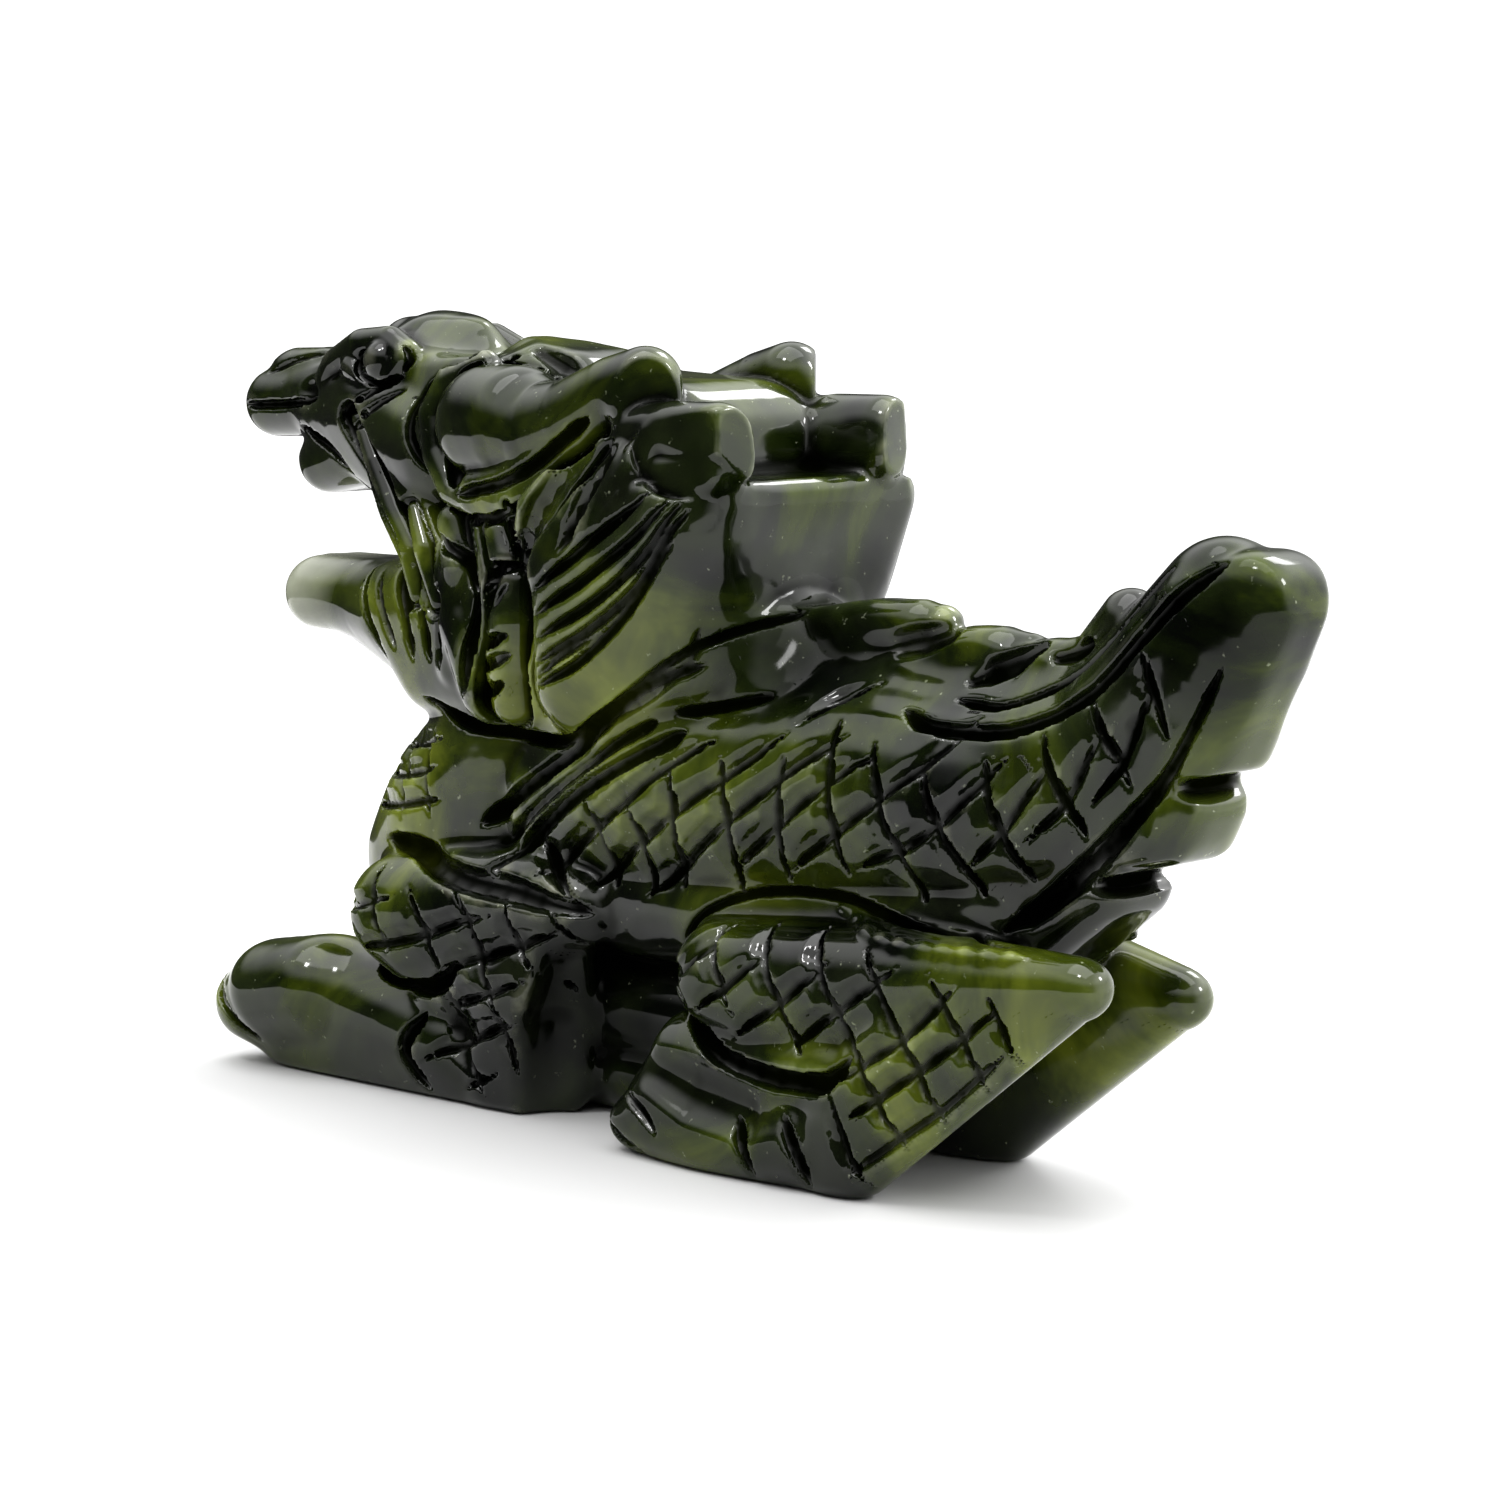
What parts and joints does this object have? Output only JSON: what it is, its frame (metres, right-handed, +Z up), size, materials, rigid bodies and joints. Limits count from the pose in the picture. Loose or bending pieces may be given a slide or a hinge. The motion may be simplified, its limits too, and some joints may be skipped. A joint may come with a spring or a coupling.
{
  "type": "dragon figurine",
  "caption": "Small carved and polished green stone dragon, crouching on four feet with its mouth open and tail raised.",
  "frame": {"origin": "on the ground, under the middle of the bounding box", "axes": "+Z up; the dragon faces -X; its left flank is at -Y"},
  "size_m": [0.075, 0.0174, 0.0427],
  "materials": {
    "jade": "polished dark green with olive mottling",
    "pale_jade": "polished, paler where the stone is thin"
  },
  "bodies": {
    "root": {"torso": "jade", "chest": "jade", "belly": "jade", "neck": "jade", "tail": "jade", "tail_fringe": "pale_jade", "back_fin_front": "jade", "back_fin_middle": "jade", "back_fin_rear": "jade", "skull": "jade", "brow": "jade", "snout": "jade", "nose_tip": "jade", "fangs": "jade", "lower_jaw": "jade", "tongue": "pale_jade", "mane": "jade", "nose_curl_left": "jade", "nose_curl_right": "jade", "eye_left": "jade", "eye_right": "jade", "horn_left": "jade", "horn_right": "jade", "ear_left": "pale_jade", "ear_right": "pale_jade", "whisker_left": "pale_jade", "whisker_right": "pale_jade", "beard_left": "pale_jade", "beard_right": "pale_jade", "upper_arm_left": "jade", "upper_arm_right": "jade", "forearm_left": "jade", "forearm_right": "jade", "front_foot_left": "jade", "front_foot_right": "jade", "thigh_left": "jade", "thigh_right": "jade", "shank_left": "jade", "shank_right": "jade", "rear_foot_left": "jade", "rear_foot_right": "jade"}
  },
  "joints": []
}
